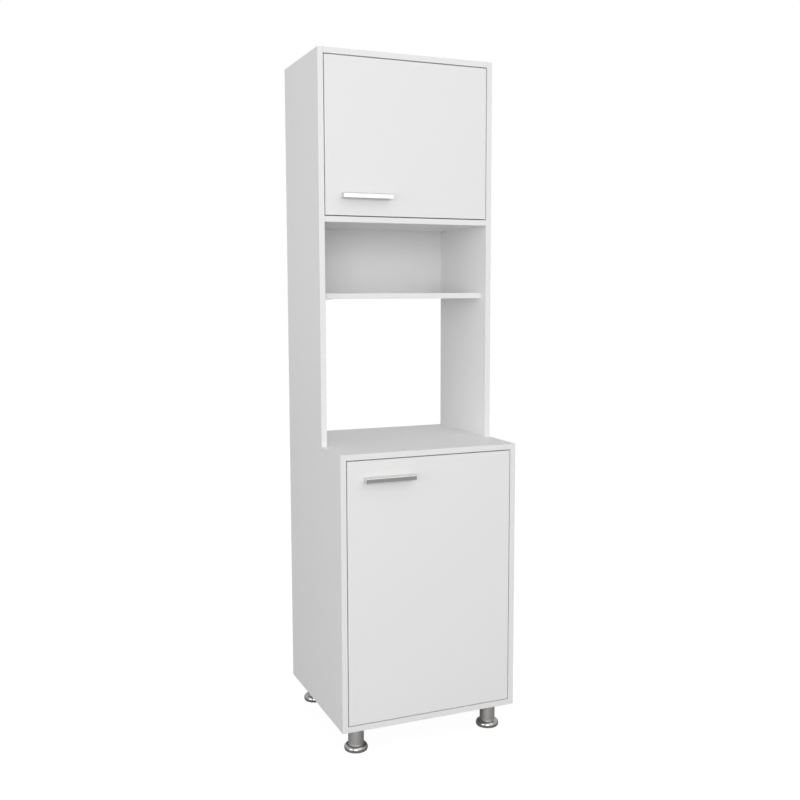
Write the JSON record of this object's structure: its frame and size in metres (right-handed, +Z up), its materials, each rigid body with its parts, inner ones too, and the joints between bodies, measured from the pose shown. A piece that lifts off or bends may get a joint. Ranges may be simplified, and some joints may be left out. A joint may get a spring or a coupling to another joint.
{
  "type": "microwave cabinet",
  "caption": "Tall free-standing kitchen cabinet with a closed cupboard at the top and bottom, an open niche, and an open bay with a worktop for a microwave oven.",
  "frame": {"origin": "centre of the bounding box's base, on the floor under the feet", "axes": "+X to the viewer's right, -Y out of the doors, +Z up"},
  "size_m": [0.5, 0.472, 1.83],
  "materials": {
    "board": "white melamine on particleboard, satin",
    "back": "white lacquered fibreboard, matt",
    "nickel": "satin nickel plating",
    "steel": "zinc-plated steel",
    "zinc": "die-cast zinc, as cast",
    "beech": "fluted beech, raw",
    "cap": "white moulded plastic",
    "grey_nylon": "moulded nylon"
  },
  "bodies": {
    "case": {"left_side_panel": "board", "right_side_panel": "board", "top_panel": "board", "upper_floor_panel": "board", "niche_shelf": "board", "worktop": "board", "bottom_panel": "board", "upper_inner_shelf": "board", "lower_inner_shelf": "board", "cam_caps": "cap", "upper_back_panel": "back", "lower_back_panel": "back", "shelf_pins": "nickel", "cam_locks": "zinc", "cam_bolts": "steel", "dowels": "beech", "upper_hinge_arms": "nickel", "upper_hinge_arm_pins": "steel", "upper_hinge_plates": "nickel", "upper_hinge_plate_screws": "steel", "upper_hinge_arm_screws": "steel", "lower_hinge_arms": "nickel", "lower_hinge_arm_pins": "steel", "lower_hinge_plates": "nickel", "lower_hinge_plate_screws": "steel", "lower_hinge_arm_screws": "steel", "leg_flanges": "nickel", "leg_screws": "steel", "leg_tubes": "nickel", "leg_inserts": "grey_nylon"},
    "upper_swing_links": {"upper_hinge_swing_links": "steel"},
    "upper_guide_links": {"upper_hinge_guide_links": "steel"},
    "upper_door": {"upper_door": "board", "upper_handle": "nickel", "upper_handle_screws": "steel", "upper_hinge_cups": "nickel", "upper_hinge_cup_pins": "steel", "upper_hinge_cup_screws": "steel"},
    "lower_swing_links": {"lower_hinge_swing_links": "steel"},
    "lower_guide_links": {"lower_hinge_guide_links": "steel"},
    "lower_door": {"lower_door": "board", "lower_handle": "nickel", "lower_handle_screws": "steel", "lower_hinge_cups": "nickel", "lower_hinge_cup_pins": "steel", "lower_hinge_cup_screws": "steel"},
    "left_front_foot": {"left_front_foot": "nickel", "left_front_stem": "steel"},
    "right_front_foot": {"right_front_foot": "nickel", "right_front_stem": "steel"},
    "left_back_foot": {"left_back_foot": "nickel", "left_back_stem": "steel"},
    "right_back_foot": {"right_back_foot": "nickel", "right_back_stem": "steel"}
  },
  "joints": [
    {"name": "upper_swing_link_pivot", "type": "hinge", "parent": "case", "child": "upper_swing_links", "pos_m": [0.2117, -0.0553, 1.61], "axis": [0, 0, 1], "range_deg": [0, 73.4]},
    {"name": "upper_door_pivot", "type": "hinge", "parent": "upper_swing_links", "child": "upper_door", "pos_m": [0.2225, -0.0569, 1.61], "axis": [0, 0, 1], "range_deg": [0, 21.7]},
    {"name": "upper_guide_link_pivot", "type": "hinge", "parent": "case", "child": "upper_guide_links", "pos_m": [0.2053, -0.0563, 1.61], "axis": [0, 0, 1], "range_deg": [0, 18.4]},
    {"name": "lower_swing_link_pivot", "type": "hinge", "parent": "case", "child": "lower_swing_links", "pos_m": [0.2117, -0.2053, 0.435], "axis": [0, 0, 1], "range_deg": [0, 73.4]},
    {"name": "lower_door_pivot", "type": "hinge", "parent": "lower_swing_links", "child": "lower_door", "pos_m": [0.2225, -0.2069, 0.435], "axis": [0, 0, 1], "range_deg": [0, 21.7]},
    {"name": "lower_guide_link_pivot", "type": "hinge", "parent": "case", "child": "lower_guide_links", "pos_m": [0.2053, -0.2063, 0.435], "axis": [0, 0, 1], "range_deg": [0, 18.4]},
    {"name": "left_front_foot_height", "type": "slide", "parent": "case", "child": "left_front_foot", "axis": [0, 0, -1], "range_m": [0, 0.01]},
    {"name": "right_front_foot_height", "type": "slide", "parent": "case", "child": "right_front_foot", "axis": [0, 0, -1], "range_m": [0, 0.01]},
    {"name": "left_back_foot_height", "type": "slide", "parent": "case", "child": "left_back_foot", "axis": [0, 0, -1], "range_m": [0, 0.01]},
    {"name": "right_back_foot_height", "type": "slide", "parent": "case", "child": "right_back_foot", "axis": [0, 0, -1], "range_m": [0, 0.01]}
  ],
  "couplings": [
    {"joint": "upper_door_pivot", "follows": "upper_swing_link_pivot", "ratio": 0.295},
    {"joint": "upper_guide_link_pivot", "follows": "upper_swing_link_pivot", "ratio": 0.25},
    {"joint": "lower_door_pivot", "follows": "lower_swing_link_pivot", "ratio": 0.295},
    {"joint": "lower_guide_link_pivot", "follows": "lower_swing_link_pivot", "ratio": 0.25}
  ]
}
